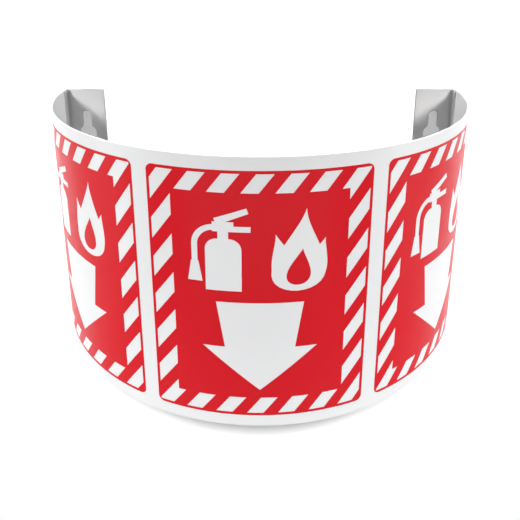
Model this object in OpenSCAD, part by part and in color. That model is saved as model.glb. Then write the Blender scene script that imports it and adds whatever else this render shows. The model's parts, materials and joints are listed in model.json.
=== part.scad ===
// Half-round wall sign that carries the same red, striped and arrowed panel three times,
// so that it can be read from the front and from both ends of a corridor.
// One bent sheet, two angle brackets with keyholes, and three printed panels.
// Origin: on the wall, in the middle of the sign's width and height. The sign faces -Y.

/* [Sheet] */
// Outer radius of the half-round sheet
outer_radius = 178; // [165:1:260]
// Height of the sheet
sheet_height = 203; // [180:1:300]
// Thickness of the sheet
sheet_thickness = 1.5; // [1:0.5:4]
// Straight run at each end of the sheet, between the half round and the wall
straight_run = 9; // [8:1:20]

/* [Brackets] */
// Thickness of both legs of a bracket
bracket_thickness = 2.5; // [1.5:0.5:4]
// Width of the flange that lies on the wall, from the sheet inwards
flange_width = 34.5; // [28:0.5:60]
// Depth of the leg that is bonded to the sheet, from the wall forwards
leg_depth = 7.6; // [5:0.1:8]
// Radius in the inner corner between flange and leg
corner_fillet = 1; // [0.5:0.5:2]

/* [Keyholes] */
// Diameter of the round entry that the screw head goes through
entry_diameter = 16; // [12:1:18]
// Width of the slot that the screw shank drops into
slot_width = 8; // [5:0.5:9]
// Length of the slot, from the entry's centre up to the centre of its round end
slot_rise = 17.7; // [12:0.1:25]
// Distance of an entry's centre from the bracket's nearer end
entry_from_end = 41; // [34:1:60]

/* [Printed panels] */
// Thickness of the printed layer
print_thickness = 0.2; // [0.2:0.1:0.5]
// Width of one panel, measured along the curve
panel_width = 152.4; // [140:0.1:160]
// Bare gap between two panels, measured along the curve
panel_gap = 11.5; // [6:0.5:18]
// Bare margin above and below the panels
panel_margin = 9.2; // [5:0.1:20]
// Corner radius of a panel
panel_corner = 4.5; // [2:0.5:10]

/* [Striped frame] */
// Red line round the outside of the striped frame
frame_line = 2.1; // [1.5:0.1:4]
// Width of the striped frame at the panel's sides
frame_side = 15; // [10:0.5:18]
// Width of the striped frame at the panel's top and bottom
frame_end = 13; // [10:0.5:16]
// Distance from one white stripe to the next, across the panel
stripe_pitch = 22; // [18:0.5:28]
// Width of one white stripe, across the panel
stripe_width = 11.6; // [8:0.1:13]
// Rise of a stripe for each millimetre across
stripe_slope = 1.3; // [1:0.05:2]

/* [Arrow] */
// Gap between the arrow's point and the striped frame
arrow_clearance = 6.6; // [3:0.1:12]
// Height of the arrow's head
head_height = 34.4; // [26:0.2:44]
// Width of the arrow's head
head_width = 78.4; // [66:0.2:90]
// Width of the arrow's shaft where it meets the head
shaft_width_low = 48; // [30:1:60]
// Width of the arrow's shaft at its top
shaft_width_top = 59; // [40:1:64]

/* [Pictogram] */
// Gap between the pictogram and the striped frame above it
pictogram_clearance = 10; // [6:0.5:14]
// Height of the pictogram
pictogram_height = 60; // [50:1:64]
// Gap between the pictogram and the arrow below it
pictogram_gap = 8.5; // [5:0.5:14]

/* [Hidden] */
$fn = 180;

white = [0.93, 0.93, 0.94];
bracket_white = [0.84, 0.85, 0.86];
print_red = [0.83, 0.10, 0.13];

inner_radius = outer_radius - sheet_thickness;
half_height = sheet_height / 2;
print_radius = outer_radius + print_thickness;
// How far a cutter runs past the faces that it cuts
past = 1;

keyhole_x = inner_radius - flange_width / 2;
entry_z = half_height - entry_from_end;

panel_height = sheet_height - 2 * panel_margin;
panel_angle = degrees_of(panel_width);
panel_step = degrees_of(panel_width + panel_gap);
// Where the curve is cut square on, the panel's two edges lie this deep
panel_edge_depth = outer_radius * cos(panel_angle / 2);

frame_half_width = panel_width / 2 - frame_line;
frame_half_height = panel_height / 2 - frame_line;
field_half_width = frame_half_width - frame_side;
field_half_height = frame_half_height - frame_end;
// The furthest stripe that still touches the frame's corner
last_stripe = floor((frame_half_width + frame_half_height / stripe_slope) / stripe_pitch);
stripe_steps = 10;

pictogram_z = field_half_height - pictogram_clearance - pictogram_height / 2;
arrow_top = pictogram_z - pictogram_height / 2 - pictogram_gap;
arrow_point = arrow_clearance - field_half_height;
arrow_shoulder = arrow_point + head_height;

// The angle at the sheet's centre that a length along its outer face takes
function degrees_of(arc) = arc / outer_radius * 180 / PI;

// Where a point at a length along the curve lies across, seen square on
function across(arc) = outer_radius * sin(degrees_of(arc));

// A half disc towards -Y with a straight run behind it
module half_round(radius, run) {
    intersection() {
        circle(radius);
        translate([-radius, -radius])
            square([2 * radius, radius]);
    }
    translate([-radius, 0])
        square([2 * radius, run]);
}

module sign_sheet() {
    color(white)
        translate([0, -straight_run, -half_height])
            linear_extrude(sheet_height)
                difference() {
                    half_round(outer_radius, straight_run);
                    half_round(inner_radius, straight_run + past);
                }
}

// A round entry with a slot that rises from it, seen square on
module keyhole_outline() {
    circle(d = entry_diameter);
    translate([-slot_width / 2, 0])
        square([slot_width, slot_rise]);
    translate([0, slot_rise])
        circle(d = slot_width);
}

// The angle's section: the flange along the wall, the leg along the sheet
module bracket_section() {
    leg_x = inner_radius - bracket_thickness;
    fillet_x = leg_x - corner_fillet;
    fillet_y = -bracket_thickness - corner_fillet;
    translate([inner_radius - flange_width, -bracket_thickness])
        square([flange_width, bracket_thickness]);
    translate([leg_x, -leg_depth])
        square([bracket_thickness, leg_depth]);
    difference() {
        translate([fillet_x, fillet_y])
            square(corner_fillet);
        translate([fillet_x, fillet_y])
            circle(corner_fillet);
    }
}

module bracket() {
    color(bracket_white)
        difference() {
            translate([0, 0, -half_height])
                linear_extrude(sheet_height)
                    bracket_section();
            for (z = [-entry_z, entry_z])
                translate([keyhole_x, past, z])
                    rotate([90, 0, 0])
                        linear_extrude(bracket_thickness + 2 * past)
                            keyhole_outline();
        }
}

module bracket_right() {
    bracket();
}

module bracket_left() {
    mirror([1, 0, 0])
        bracket();
}

// White slanting stripes across the whole panel, each bent as the curve foreshortens it
module stripes() {
    for (count = [-last_stripe : last_stripe])
        polygon(concat(
            [for (step = [0 : stripe_steps]) stripe_edge(count, -1, step)],
            [for (step = [stripe_steps : -1 : 0]) stripe_edge(count, 1, step)]
        ));
}

// A point on a stripe's left (-1) or right (1) edge, at one of the steps from bottom to top
function stripe_edge(count, side, step) =
    let (z = (2 * step / stripe_steps - 1) * (frame_half_height + past))
    [across(z / stripe_slope + count * stripe_pitch + side * stripe_width / 2), z];

module centred_rectangle(half_width, half_height) {
    translate([-across(half_width), -half_height])
        square([2 * across(half_width), 2 * half_height]);
}

module striped_frame() {
    intersection() {
        stripes();
        difference() {
            centred_rectangle(frame_half_width, frame_half_height);
            centred_rectangle(field_half_width, field_half_height);
        }
    }
}

module arrow() {
    polygon([
        [-shaft_width_top / 2, arrow_top],
        [shaft_width_top / 2, arrow_top],
        [shaft_width_low / 2, arrow_shoulder],
        [head_width / 2, arrow_shoulder],
        [0, arrow_point],
        [-head_width / 2, arrow_shoulder],
        [-shaft_width_low / 2, arrow_shoulder]
    ]);
}

// A bar from one point to another, with a width at each end
module bar(from, to, from_width, to_width) {
    run = to - from;
    side = [-run[1], run[0]] / norm(run) / 2;
    polygon([
        from + side * from_width,
        from - side * from_width,
        to - side * to_width,
        to + side * to_width
    ]);
}

// A tongue of flame: round at its foot and drawn out to a leaning point, slimmer above for a greater slimness
module tongue(half_width, foot, point, lean, slimness = 1.6) {
    corners = 40;
    // The most that the formula below gives before it is scaled to half_width
    widest = 2 * pow((slimness + 1) / (slimness + 2), (slimness + 1) / 2) / sqrt(slimness + 2);
    polygon([
        for (corner = [0 : corners - 1])
            let (turn = 360 * corner / corners, rise = (1 + cos(turn)) / 2)
            [
                lean * pow(rise, 1.5) + half_width / widest * sin(turn) * pow(sin(turn / 2), slimness),
                foot + (point - foot) * rise
            ]
    ]);
}

// An upright cylinder with its valve, lever, hose and horn, on a drawing 60 units high
module extinguisher_figure() {
    // Cylinder with round shoulders
    translate([-12, 0])
        square([24, 30]);
    translate([-4, 30])
        square([8, 8]);
    translate([-4, 30])
        circle(8);
    translate([4, 30])
        circle(8);
    // Neck and valve
    translate([-3.5, 36])
        square([7, 8]);
    translate([-7, 43])
        square([14, 7]);
    // Carrying handle and lever
    bar([0, 45], [18, 45], 4, 4);
    bar([-5, 50], [16, 58], 5, 4);
    // Hose and horn
    intersection() {
        translate([-6, 33])
            difference() {
                circle(15);
                circle(11);
            }
        translate([-22, 33])
            square([16, 16]);
    }
    bar([-19, 33.5], [-19, 20], 4, 4);
    bar([-19, 21], [-19, 6], 5, 10);
}

// A flame of three tongues round a dark core, on the same drawing
module flame_figure() {
    difference() {
        union() {
            translate([-1, 0])
                tongue(18.2, 0, 60, 5, 2.2);
            translate([-8, 0])
                tongue(9, 4, 42, -8);
            translate([8, 0])
                tongue(8.6, 5, 38, 9);
        }
        translate([-1, 0])
            tongue(8, 4.5, 31, 3);
    }
}

module pictogram() {
    figure_height = 60;
    figure_scale = pictogram_height / figure_height;
    translate([0, pictogram_z - pictogram_height / 2])
        scale(figure_scale) {
            translate([-24, 0])
                extinguisher_figure();
            translate([26, 0])
                flame_figure();
        }
}

// The panel's rounded outline, seen square on
module panel_outline() {
    half_width = across(panel_width / 2);
    half_rise = panel_height / 2;
    translate([panel_corner - half_width, -half_rise])
        square([2 * (half_width - panel_corner), 2 * half_rise]);
    translate([-half_width, panel_corner - half_rise])
        square([2 * half_width, 2 * (half_rise - panel_corner)]);
    for (side = [-1, 1])
        for (end = [-1, 1])
            translate([side * (half_width - panel_corner), end * (half_rise - panel_corner)])
                circle(panel_corner);
}

// Everything on a panel that is red, seen square on
module red_area() {
    difference() {
        panel_outline();
        striped_frame();
        arrow();
        pictogram();
    }
}

// A stretch of the thin layer round the curve, a little larger than a panel
module layer() {
    layer_angle = panel_angle + degrees_of(2 * past);
    layer_height = panel_height + 2 * past;
    rotate([0, 0, -90 - layer_angle / 2])
        rotate_extrude(angle = layer_angle)
            translate([outer_radius, -layer_height / 2])
                square([print_thickness, layer_height]);
}

// A thin red layer on the curve, open wherever the white sheet shows through
module panel(turn) {
    color(print_red)
        translate([0, -straight_run, 0])
            rotate([0, 0, turn])
                intersection() {
                    layer();
                    translate([0, past - panel_edge_depth, 0])
                        rotate([90, 0, 0])
                            linear_extrude(print_radius - panel_edge_depth + 2 * past)
                                red_area();
                }
}

module print_left() {
    panel(-panel_step);
}

module print_centre() {
    panel(0);
}

module print_right() {
    panel(panel_step);
}

sign_sheet();
bracket_left();
bracket_right();
print_left();
print_centre();
print_right();
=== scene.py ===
"""Looks of a half-round wall sign.

A bent white plastic sheet with three red prints, held to a wall by two angle brackets.
"""
import json
import math

import bmesh
import bpy
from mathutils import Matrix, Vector


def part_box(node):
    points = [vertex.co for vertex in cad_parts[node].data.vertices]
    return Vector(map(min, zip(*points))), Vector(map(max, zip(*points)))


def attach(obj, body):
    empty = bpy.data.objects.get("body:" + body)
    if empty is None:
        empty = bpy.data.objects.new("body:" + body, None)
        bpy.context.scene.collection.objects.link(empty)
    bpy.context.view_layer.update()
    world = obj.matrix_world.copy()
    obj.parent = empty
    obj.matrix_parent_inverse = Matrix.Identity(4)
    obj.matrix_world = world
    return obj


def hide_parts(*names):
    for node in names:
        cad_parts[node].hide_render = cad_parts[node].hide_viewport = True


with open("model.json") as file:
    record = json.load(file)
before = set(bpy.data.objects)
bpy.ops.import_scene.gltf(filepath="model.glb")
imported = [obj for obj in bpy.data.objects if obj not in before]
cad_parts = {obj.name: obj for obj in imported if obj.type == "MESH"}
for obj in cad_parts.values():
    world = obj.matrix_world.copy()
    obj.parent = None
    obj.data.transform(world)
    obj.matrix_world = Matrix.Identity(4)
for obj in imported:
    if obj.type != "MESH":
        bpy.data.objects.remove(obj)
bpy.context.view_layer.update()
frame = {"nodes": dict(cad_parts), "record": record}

# Sizes, in metres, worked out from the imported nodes
sheet_low, sheet_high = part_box("sign_sheet")
bracket_low, bracket_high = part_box("bracket_right")
OUTER_RADIUS = sheet_high.x
HALF_HEIGHT = sheet_high.z
STRAIGHT_RUN = -sheet_low.y - OUTER_RADIUS
INNER_RADIUS = bracket_high.x
SHEET_THICKNESS = OUTER_RADIUS - INNER_RADIUS
FLANGE_WIDTH = bracket_high.x - bracket_low.x
LEG_DEPTH = -bracket_low.y
ARC_CENTRE = Vector((0, -STRAIGHT_RUN, 0))

# The keyholes' round entries, as the record's mount states them
keyholes = next(m for m in frame["record"]["mounts"] if m["name"] == "keyholes")
ENTRY_RADIUS = keyholes["dims"]["hole_r_mm"] / 1000
ENTRY_X = keyholes["dims"]["spacing_x_mm"] / 2000
ENTRY_Z = keyholes["dims"]["spacing_y_mm"] / 2000

# Sizes that neither a box nor the record gives, as in the part
BRACKET_THICKNESS = 0.0025
CORNER_FILLET = 0.001
SLOT_WIDTH = 0.008
SLOT_RISE = 0.0177

# Fine forms that only the looks need
SHEET_EDGE_ROUND = 0.0003
BRACKET_EDGE_ROUND = 0.0003
INK_THICKNESS = 0.00006

# How fine the curves are cut
ARC_STEP = math.radians(0.5)
SHEET_EDGE_STEPS = 4
BRACKET_EDGE_STEPS = 3
FILLET_STEPS = 8
ENTRY_STEPS = 56
SLOT_END_STEPS = 24

# Angles between faces that stay sharp or are rounded
SHEET_SHARP = math.radians(50)
BRACKET_SHARP = math.radians(35)
BRACKET_BEVELLED = math.radians(40)


def link_to_scene(thing):
    """Puts a new object into the scene."""
    bpy.context.scene.collection.objects.link(thing)


def new_object(name, mesh, material):
    """Links a mesh that rides on the only body, with one material."""
    piece = bpy.data.objects.new(name, mesh)
    link_to_scene(piece)
    mesh.materials.append(material)
    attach(piece, "root")
    return piece


def finished_mesh(name, bm):
    """Turns an edit mesh with its faces outward into a mesh."""
    bmesh.ops.recalc_face_normals(bm, faces=bm.faces)
    mesh = bpy.data.meshes.new(name)
    bm.to_mesh(mesh)
    bm.free()
    return mesh


# Materials

# Noise lies mostly between these values
NOISE_LOW = 0.3
NOISE_HIGH = 0.7


class Nodes:
    """A short way to build one procedural material."""

    def __init__(self, name):
        self.material = bpy.data.materials.new(name)
        self.material.use_nodes = True
        self.tree = self.material.node_tree
        self.shader = self.tree.nodes["Principled BSDF"]
        self.output = self.tree.nodes["Material Output"]
        self.coords = self.tree.nodes.new("ShaderNodeTexCoord").outputs["Object"]

    def add(self, kind, settings=(), **links):
        """A node with its settings or constant inputs, and with links into inputs by name."""
        node = self.tree.nodes.new(kind)
        for key, value in dict(settings).items():
            if hasattr(node, key):
                setattr(node, key, value)
            else:
                node.inputs[key].default_value = value
        for key, source in links.items():
            self.tree.links.new(source, node.inputs[key.replace("_", " ")])
        return node

    def noise(self, scale, detail=3.0, stretch=(1, 1, 1)):
        """Noise in metres: scale is its waves in each one, and stretch changes it by axis."""
        mapped = self.add("ShaderNodeMapping", {"Scale": stretch}, Vector=self.coords)
        settings = {"Scale": scale, "Detail": detail}
        texture = self.add("ShaderNodeTexNoise", settings, Vector=mapped.outputs["Vector"])
        return texture.outputs["Fac"]

    def spread(self, source, low, high):
        """A value that follows a noise, from about low to about high."""
        limits = {"From Min": NOISE_LOW, "From Max": NOISE_HIGH, "To Min": low, "To Max": high}
        ranged = self.add("ShaderNodeMapRange", {"clamp": False, **limits}, Value=source)
        return ranged.outputs["Result"]

    def colours(self, factor, first, second):
        """A colour that goes from first to second as factor goes from zero to one."""
        mix = self.tree.nodes.new("ShaderNodeMix")
        mix.data_type = "RGBA"
        mix.inputs["A"].default_value = (*first, 1)
        mix.inputs["B"].default_value = (*second, 1)
        self.tree.links.new(factor, mix.inputs["Factor"])
        return mix.outputs["Result"]

    def maths(self, operation, *values):
        """The result of a Math node whose inputs are sockets or constants."""
        node = self.add("ShaderNodeMath", {"operation": operation})
        for socket, value in zip(node.inputs, values):
            if isinstance(value, bpy.types.NodeSocket):
                self.tree.links.new(value, socket)
            else:
                socket.default_value = value
        return node.outputs[0]

    def combined(self, kind, first, second, **links):
        """The outcome of an Add Shader or Mix Shader node for two shaders."""
        node = self.add(kind, **links)
        shaders = [socket for socket in node.inputs if socket.type == "SHADER"]
        self.tree.links.new(first, shaders[0])
        self.tree.links.new(second, shaders[1])
        return node.outputs[0]

    def bump(self, heights):
        """Stacks (height source, depth in metres) pairs into one normal."""
        normal = None
        for source, depth in heights:
            node = self.add("ShaderNodeBump", {"Strength": 1.0, "Distance": depth}, Height=source)
            if normal is not None:
                self.tree.links.new(normal, node.inputs["Normal"])
            normal = node.outputs["Normal"]
        self.link(normal, "Normal")

    def link(self, source, socket):
        self.tree.links.new(source, self.shader.inputs[socket])

    def constant(self, socket, value):
        self.shader.inputs[socket].default_value = value


# The two ends of each colour's slight change over a surface
SHEET_WHITES = (0.80, 0.805, 0.815), (0.83, 0.83, 0.835)
INK_REDS = (0.64, 0.008, 0.016), (0.68, 0.010, 0.019)
BRACKET_WHITES = (0.755, 0.745, 0.74), (0.785, 0.775, 0.77)

PLASTIC_IOR = 1.49
INK_SPECULAR = 0.12

# Depths of the bump, in metres. The ink lies in the sheet's own slow waves.
SHEET_WAVES = 0.00006
SHEET_PEEL = 0.000004
INK_GRAIN = 0.000005
DRAWN_LINES = 0.000015
BRACKET_GRAIN = 0.000004

# How the noise on the angles is drawn out along their height
DRAWN_GLOSS = (20, 20, 0.5)
DRAWN_BUMP = (12, 12, 0.3)


def sheet_plastic():
    """Smooth white sheet with a faint orange peel."""
    n = Nodes("white_sheet_plastic")
    n.link(n.colours(n.noise(scale=9), *SHEET_WHITES), "Base Color")
    n.link(n.spread(n.noise(scale=60), 0.29, 0.32), "Roughness")
    waves = n.noise(scale=25, detail=1)
    peel = n.noise(scale=700, detail=2)
    n.bump([(waves, SHEET_WAVES), (peel, SHEET_PEEL)])
    n.constant("IOR", PLASTIC_IOR)
    return n.material


def red_ink():
    """Red ink on the sheet, a little duller than the bare plastic."""
    n = Nodes("red_print_ink")
    n.link(n.colours(n.noise(scale=14), *INK_REDS), "Base Color")
    n.link(n.spread(n.noise(scale=90), 0.30, 0.38), "Roughness")
    waves = n.noise(scale=25, detail=1)
    grain = n.noise(scale=900, detail=2)
    n.bump([(waves, SHEET_WAVES), (grain, INK_GRAIN)])
    n.constant("IOR", PLASTIC_IOR)
    n.constant("Specular IOR Level", INK_SPECULAR)
    return n.material


def bracket_plastic():
    """White drawn angle with faint lines along its length."""
    n = Nodes("white_bracket_plastic")
    n.link(n.colours(n.noise(scale=12), *BRACKET_WHITES), "Base Color")
    gloss = n.noise(scale=40, detail=3, stretch=DRAWN_GLOSS)
    n.link(n.spread(gloss, 0.36, 0.46), "Roughness")
    lines = n.noise(scale=90, detail=2, stretch=DRAWN_BUMP)
    grain = n.noise(scale=800, detail=2)
    n.bump([(lines, DRAWN_LINES), (grain, BRACKET_GRAIN)])
    n.constant("IOR", PLASTIC_IOR)
    return n.material


# Sheet


def rounded_section():
    """The sheet's section as (depth from the outer face, height) points, with rounded edges."""
    r = SHEET_EDGE_ROUND
    corners = [
        (r, HALF_HEIGHT - r, 90),
        (r, -HALF_HEIGHT + r, 180),
        (SHEET_THICKNESS - r, -HALF_HEIGHT + r, 270),
        (SHEET_THICKNESS - r, HALF_HEIGHT - r, 0),
    ]
    points = []
    for depth, height, start in corners:
        for step in range(SHEET_EDGE_STEPS + 1):
            turn = math.radians(start + 90 * step / SHEET_EDGE_STEPS)
            points.append((depth + r * math.cos(turn), height + r * math.sin(turn)))
    return points


def plan_route():
    """Stations along the sheet in plan, as (point that the radius is set off from, direction)."""
    stations = [(Vector((0, 0, 0)), Vector((-1, 0, 0)))]
    steps = round(math.pi / ARC_STEP)
    for step in range(steps + 1):
        turn = math.pi * step / steps
        stations.append((ARC_CENTRE, Vector((-math.cos(turn), -math.sin(turn), 0))))
    stations.append((Vector((0, 0, 0)), Vector((1, 0, 0))))
    return stations


def sheet_mesh():
    bm = bmesh.new()
    section = rounded_section()
    rings = []
    for foot, outward in plan_route():
        ring = []
        for depth, height in section:
            place = foot + outward * (OUTER_RADIUS - depth)
            ring.append(bm.verts.new((place.x, place.y, height)))
        rings.append(ring)
    for one, two in zip(rings, rings[1:]):
        for i in range(len(section)):
            j = (i + 1) % len(section)
            bm.faces.new((one[i], one[j], two[j], two[i]))
    bm.faces.new(rings[0])
    bm.faces.new(reversed(rings[-1]))
    mesh = finished_mesh("sheet", bm)
    mesh.shade_smooth()
    mesh.set_sharp_from_angle(angle=SHEET_SHARP)
    return mesh


# Prints

# What tells the print's outer face from its inner face and its cut edges, in metres and as a cosine
FACE_TOLERANCE = 0.00004
CUT_EDGE_SLANT = 0.3
FILM_EDGE_SLANT = 0.5

# Tolerances of the mesh work
WELD_DISTANCE = 0.00001
STRAIGHT_ANGLE = math.radians(0.2)
CUT_DISTANCE = 1e-7


def unrolled(point):
    """A point on the curve as (length along it, height)."""
    angle = math.atan2(point.x, ARC_CENTRE.y - point.y)
    return angle * OUTER_RADIUS, point.z


def rolled(arc, height, radius):
    """The place of a point at a length along the curve and a height, at a radius."""
    angle = arc / OUTER_RADIUS
    return Vector((radius * math.sin(angle), ARC_CENTRE.y - radius * math.cos(angle), height))


def keep_outer_face(bm):
    """Deletes all of a packed print but its outer face."""
    face_radius = max((v.co - ARC_CENTRE).xy.length for v in bm.verts)
    least = face_radius - FACE_TOLERANCE
    inner = [v for v in bm.verts if (v.co - ARC_CENTRE).xy.length < least]
    bmesh.ops.delete(bm, geom=inner, context="VERTS")
    edges = []
    for face in bm.faces:
        outward = (face.calc_center_median() - ARC_CENTRE).normalized()
        if abs(face.normal.dot(outward)) < CUT_EDGE_SLANT:
            edges.append(face)
    bmesh.ops.delete(bm, geom=edges, context="FACES")
    bmesh.ops.remove_doubles(bm, verts=bm.verts, dist=WELD_DISTANCE)


def cut_along_curve(bm):
    """Cuts a flat print at every step of the curve, so that it can be rolled."""
    step = ARC_STEP * OUTER_RADIUS
    low = min(v.co.x for v in bm.verts)
    high = max(v.co.x for v in bm.verts)
    for count in range(math.ceil(low / step), math.floor(high / step) + 1):
        bmesh.ops.bisect_plane(
            bm,
            geom=bm.verts[:] + bm.edges[:] + bm.faces[:],
            dist=CUT_DISTANCE,
            plane_co=(count * step, 0, 0),
            plane_no=(1, 0, 0),
        )
    bmesh.ops.triangulate(bm, faces=bm.faces)


def ink_mesh(node):
    """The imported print's outer face, cut fine along the curve and laid on the sheet as a film."""
    bm = bmesh.new()
    bm.from_mesh(frame["nodes"][node].data)
    keep_outer_face(bm)
    for v in bm.verts:
        arc, height = unrolled(v.co)
        v.co = Vector((arc, height, 0))
    bmesh.ops.dissolve_limit(bm, angle_limit=STRAIGHT_ANGLE, verts=bm.verts, edges=bm.edges)
    cut_along_curve(bm)
    top = bmesh.ops.extrude_face_region(bm, geom=bm.faces[:])
    raised = {v for v in top["geom"] if isinstance(v, bmesh.types.BMVert)}
    for v in bm.verts:
        v.co = rolled(v.co.x, v.co.y, OUTER_RADIUS + (INK_THICKNESS if v in raised else 0))
    mesh = finished_mesh(node, bm)
    mesh.shade_smooth()
    give_curve_normals(mesh)
    return mesh


def give_curve_normals(mesh):
    """Faces along the curve take its true normals, and the film's edge keeps its own."""
    normals = []
    for face in mesh.polygons:
        outward = face.center - ARC_CENTRE
        outward.z = 0
        outward.normalize()
        along = face.normal.dot(outward)
        for loop in face.loop_indices:
            if abs(along) < FILM_EDGE_SLANT:
                normals.append(face.normal.copy())
                continue
            direction = mesh.vertices[mesh.loops[loop].vertex_index].co - ARC_CENTRE
            direction.z = 0
            normals.append(direction.normalized() * (1 if along > 0 else -1))
    mesh.normals_split_custom_set(normals)


# Brackets


def arc_points(centre, radius, start, end, count):
    """Points on an arc between two angles in degrees."""
    turns = [math.radians(start + (end - start) * i / count) for i in range(count + 1)]
    return [(centre[0] + radius * math.cos(t), centre[1] + radius * math.sin(t)) for t in turns]


def prism(name, outline, low, high, upright):
    """A closed prism from an outline in plan (upright) or seen square on."""
    bm = bmesh.new()
    place = (lambda p, t: (p[0], p[1], t)) if upright else (lambda p, t: (p[0], t, p[1]))
    near = [bm.verts.new(place(p, low)) for p in outline]
    far = [bm.verts.new(place(p, high)) for p in outline]
    bm.faces.new(near)
    bm.faces.new(reversed(far))
    for i in range(len(outline)):
        j = (i + 1) % len(outline)
        bm.faces.new((near[j], near[i], far[i], far[j]))
    return finished_mesh(name, bm)


def bracket_outline(side):
    """The angle's section in plan, with its fillet, for the left (-1) or right (1) bracket."""
    leg_x = INNER_RADIUS - BRACKET_THICKNESS
    fillet_centre = (leg_x - CORNER_FILLET, -BRACKET_THICKNESS - CORNER_FILLET)
    points = [
        (INNER_RADIUS - FLANGE_WIDTH, 0),
        (INNER_RADIUS, 0),
        (INNER_RADIUS, -LEG_DEPTH),
        (leg_x, -LEG_DEPTH),
    ]
    points += arc_points(fillet_centre, CORNER_FILLET, 0, 90, FILLET_STEPS)
    points.append((INNER_RADIUS - FLANGE_WIDTH, -BRACKET_THICKNESS))
    return [(side * x, y) for x, y in points]


def keyhole_outline(side, entry_z):
    """One keyhole seen square on: the round entry with the slot above it."""
    half_slot = SLOT_WIDTH / 2
    opening = math.degrees(math.asin(half_slot / ENTRY_RADIUS))
    entry = arc_points((0, 0), ENTRY_RADIUS, 90 + opening, 450 - opening, ENTRY_STEPS)
    slot_end = arc_points((0, SLOT_RISE), half_slot, 0, 180, SLOT_END_STEPS)
    return [(side * ENTRY_X + x, entry_z + z) for x, z in entry + slot_end]


def bracket_mesh(side):
    """The angle with its keyholes cut and its edges rounded."""
    angle = prism("angle", bracket_outline(side), -HALF_HEIGHT, HALF_HEIGHT, True)
    body = bpy.data.objects.new("bracket_body", angle)
    link_to_scene(body)
    cutters = []
    for entry_z in (-ENTRY_Z, ENTRY_Z):
        through = prism("keyhole", keyhole_outline(side, entry_z), -2 * LEG_DEPTH, LEG_DEPTH, False)
        cutter = bpy.data.objects.new("cutter", through)
        link_to_scene(cutter)
        cut = body.modifiers.new("keyhole", "BOOLEAN")
        cut.operation = "DIFFERENCE"
        cut.solver = "EXACT"
        cut.object = cutter
        cutters.append(cutter)
    rounding = body.modifiers.new("edges", "BEVEL")
    rounding.width = BRACKET_EDGE_ROUND
    rounding.segments = BRACKET_EDGE_STEPS
    rounding.limit_method = "ANGLE"
    rounding.angle_limit = BRACKET_BEVELLED
    rounding.use_clamp_overlap = True
    bpy.context.view_layer.update()
    evaluated = body.evaluated_get(bpy.context.evaluated_depsgraph_get())
    mesh = bpy.data.meshes.new_from_object(evaluated)
    for scratch in (body, *cutters):
        bpy.data.objects.remove(scratch)
    mesh.shade_smooth()
    mesh.set_sharp_from_angle(angle=BRACKET_SHARP)
    return mesh


# Pieces

white_plastic = sheet_plastic()
ink = red_ink()
angle_plastic = bracket_plastic()

sheet = new_object("half_round_sheet", sheet_mesh(), white_plastic)
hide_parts("sign_sheet")
layers = []
for node in ("print_left", "print_centre", "print_right"):
    layer = new_object("ink_" + node.split("_")[1], ink_mesh(node), ink)
    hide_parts(node)
    layers.append(layer)
brackets = []
for node, side in (("bracket_left", -1), ("bracket_right", 1)):
    name = "angle_" + node.split("_")[1]
    bracket = new_object(name, bracket_mesh(side), angle_plastic)
    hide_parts(node)
    brackets.append(bracket)


# Stage: a wall behind the flanges, and a floor well below the sign

WALL_GAP = 0.0005
FLOOR_BELOW = 1.5
STAGE_REACH = 4.0

# A ray shorter than this lies between the wall and what touches it
SHORT_RAY = 3 * WALL_GAP

# Grey levels: pale where the paint is seen directly, and dim for the light that it throws
PAINT_PALE = 0.8
WALL_DIM = 0.2
FLOOR_DIM = 0.3
# Painted shade: the darker grey of the wall where the flanges lie on it, seen through the keyholes
PAINTED_SHADE_GREY = 0.2

# Strengths of the glow that brings the paint to white where it is seen directly
WALL_GLOW = 0.42
# Painted shade: the weaker glow of the wall where the flanges lie on it
PAINTED_SHADE_GLOW = 0.08
FLOOR_GLOW = 0.62


def grey(level):
    return (level, level, level)


def seen_directly(tree):
    """One where the camera, a gloss or a clear surface looks straight at something, else zero."""
    path = tree.nodes.new("ShaderNodeLightPath")
    seen = path.outputs["Is Camera Ray"]
    for ray in ("Is Glossy Ray", "Is Transmission Ray"):
        either = tree.nodes.new("ShaderNodeMath")
        either.operation = "MAXIMUM"
        tree.links.new(seen, either.inputs[0])
        tree.links.new(path.outputs[ray], either.inputs[1])
        seen = either.outputs[0]
    return seen


class Paint(Nodes):
    """A matt paint that throws little light, and is pale with a plain glow where seen directly."""

    def __init__(self, name, dim, glow):
        super().__init__(name)
        self.tree.nodes.remove(self.shader)
        seen = seen_directly(self.tree)
        self.tone = self.colours(seen, grey(dim), grey(PAINT_PALE))
        matt = self.add("ShaderNodeBsdfDiffuse", Color=self.tone).outputs[0]
        self.glow = self.add("ShaderNodeEmission", {"Strength": glow})
        glowing = self.combined("ShaderNodeAddShader", matt, self.glow.outputs[0])
        self.surface = self.combined("ShaderNodeMixShader", matt, glowing, Fac=seen)
        self.tree.links.new(self.surface, self.output.inputs["Surface"])


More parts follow.
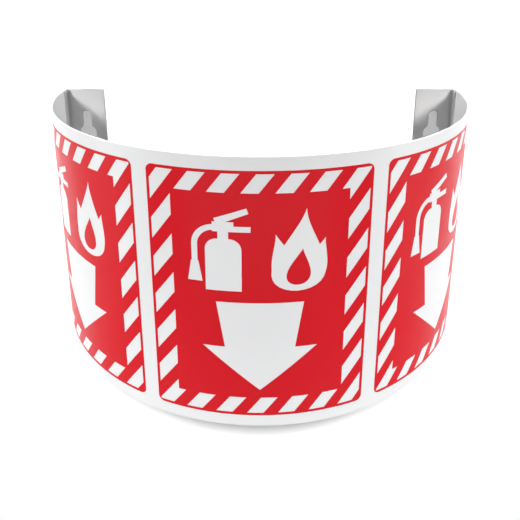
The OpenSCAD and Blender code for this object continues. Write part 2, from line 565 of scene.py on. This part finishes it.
def paint_shade_behind_flanges(n):
    """Paints shade into the wall where the flanges lie on it, as a darker grey and a weaker glow
    that show through the keyholes.
    """
    apart = n.add("ShaderNodeSeparateXYZ", Vector=n.coords)
    flange_middle = INNER_RADIUS - FLANGE_WIDTH / 2
    across = n.maths("ABSOLUTE", apart.outputs["X"])
    height = n.maths("ABSOLUTE", apart.outputs["Z"])
    beside = n.maths("COMPARE", across, flange_middle, FLANGE_WIDTH / 2)
    level = n.maths("COMPARE", height, 0.0, HALF_HEIGHT)
    # Painted shade mask: one where a flange lies on the wall, zero elsewhere
    painted_shade_mask = n.maths("MULTIPLY", beside, level)
    painted_shade_tone = n.colours(painted_shade_mask, grey(PAINT_PALE), grey(PAINTED_SHADE_GREY))
    n.tree.links.new(painted_shade_tone, n.tone.node.inputs["B"])
    levels = {"To Min": WALL_GLOW, "To Max": PAINTED_SHADE_GLOW}
    glow = n.add("ShaderNodeMapRange", levels, Value=painted_shade_mask)
    n.tree.links.new(glow.outputs["Result"], n.glow.inputs["Strength"])


def clear_from_behind(n):
    """Makes the wall clear from behind, and for short rays, so that light reaches the flanges'
    backs."""
    ray_length = n.add("ShaderNodeLightPath").outputs["Ray Length"]
    behind = n.add("ShaderNodeNewGeometry").outputs["Backfacing"]
    short = n.maths("LESS_THAN", ray_length, SHORT_RAY)
    passing = n.maths("MAXIMUM", behind, short)
    clear = n.add("ShaderNodeBsdfTransparent").outputs[0]
    gate = n.combined("ShaderNodeMixShader", n.surface, clear, Fac=passing)
    n.tree.links.new(gate, n.output.inputs["Surface"])


def wall_paint():
    n = Paint("wall_paint", WALL_DIM, WALL_GLOW)
    paint_shade_behind_flanges(n)
    clear_from_behind(n)
    return n.material


def stage_plane(name, corners, material):
    mesh = bpy.data.meshes.new(name)
    mesh.from_pydata(corners, [], [(0, 1, 2, 3)])
    mesh.materials.append(material)
    plane = bpy.data.objects.new(name, mesh)
    link_to_scene(plane)
    return plane


# The corners of a square, by their signs
SQUARE = ((-1, -1), (1, -1), (1, 1), (-1, 1))

wall_corners = [
    (x * STAGE_REACH, WALL_GAP, STAGE_REACH if z > 0 else -FLOOR_BELOW) for x, z in SQUARE
]
wall = stage_plane("wall", wall_corners, wall_paint())
floor_corners = [(x * STAGE_REACH, y * STAGE_REACH, -FLOOR_BELOW) for x, y in SQUARE]
floor = stage_plane("floor", floor_corners, Paint("floor_paint", FLOOR_DIM, FLOOR_GLOW).material)


# Light

# What a lamp faces unless it is told otherwise: the middle of the sign
SIGN_MIDDLE = (0, -0.09, 0)


def receivers_of(name, pieces):
    """A group of things for lamps that light nothing else, as a studio does it with flags."""
    group = bpy.data.collections.new(name)
    for piece in pieces:
        group.objects.link(piece)
    return group


on_stage = receivers_of("on_stage", (wall, floor))
on_angles = receivers_of("on_angles", brackets)
on_sheet = receivers_of("on_sheet", (sheet, *layers))


def softbox(name, place, size, power, receivers=None, aim=SIGN_MIDDLE, spread=180):
    """A rectangular lamp: size in metres, power in watts, spread in degrees."""
    light = bpy.data.lights.new(name, "AREA")
    light.shape = "RECTANGLE"
    light.size, light.size_y = size
    light.energy = power
    light.spread = math.radians(spread)
    lamp = bpy.data.objects.new(name, light)
    lamp.location = place
    lamp.rotation_euler = (Vector(aim) - Vector(place)).to_track_quat("-Z", "Y").to_euler()
    lamp.visible_camera = False
    lamp.visible_glossy = False
    link_to_scene(lamp)
    if receivers is not None:
        lamp.light_linking.receiver_collection = receivers


# Sheet and prints: from low in front and from the sides, so that the middle is a little darker
softbox("front_low", (0, -1.50, -0.48), (2.2, 0.35), 15.3, on_sheet)
softbox("below", (0, -0.36, -0.36), (0.8, 0.08), 0.46, on_sheet)
softbox("above", (0, -0.40, 0.42), (0.6, 0.08), 0.16, on_sheet)
softbox("inside", (0, -0.09, 0.90), (0.3, 0.2), 9, on_sheet)
for side in (-1, 1):
    softbox("side_front", (side * 1.50, -0.60, -0.10), (0.9, 1.2), 8.0, on_sheet)
    softbox("side_low", (side * 1.40, -0.25, -0.35), (0.5, 0.8), 7.0, on_sheet)
    softbox("side_level", (side * 1.20, -0.20, 0.45), (0.4, 0.4), 1.0, on_sheet)

    # Flanges: across from the same side, so that the sheet's shade slants over them
    flange = (side * 0.16, 0, 0.06)
    softbox("side_high", (side * 0.49, -0.55, 0.41), (0.16, 0.16), 0.125, on_angles, flange, 26)

# Wall: from high in front, so that the sign's shadow shows as a crescent under its lower rim
softbox("wall_far", (0, -2.23, 1.917), (0.12, 0.12), 46, on_stage)
softbox("wall_near", (0, -0.62, 0.33), (0.038, 0.038), 6.8, on_stage)

# Everything, for the views from behind
softbox("behind", (0, 1.6, 0.8), (1.0, 1.0), 20)

# The world is white where it is seen directly, and throws little light
WORLD_LIGHT = 0.02

world = bpy.data.worlds.new("studio")
bpy.context.scene.world = world
world.use_nodes = True
background = world.node_tree.nodes["Background"]
background.inputs["Color"].default_value = (1, 1, 1, 1)
strength = world.node_tree.nodes.new("ShaderNodeMapRange")
strength.inputs["To Min"].default_value = WORLD_LIGHT
world.node_tree.links.new(seen_directly(world.node_tree), strength.inputs["Value"])
world.node_tree.links.new(strength.outputs["Result"], background.inputs["Strength"])


# Camera: the photograph's, on the centre line and looking down

CAMERA_DISTANCE = 0.5326
CAMERA_HEIGHT = 0.2230
CAMERA_TILT = math.radians(17.259)
CAMERA_LENS = 41.392
CAMERA_SHIFT = -0.2404

camera_data = bpy.data.cameras.new("camera")
camera_data.lens = CAMERA_LENS
camera_data.shift_y = CAMERA_SHIFT
camera = bpy.data.objects.new("camera", camera_data)
camera.location = (0, -CAMERA_DISTANCE, CAMERA_HEIGHT)
camera.rotation_euler = (math.pi / 2 - CAMERA_TILT, 0, 0)
link_to_scene(camera)
bpy.context.scene.camera = camera
bpy.context.scene.view_settings.view_transform = "Standard"
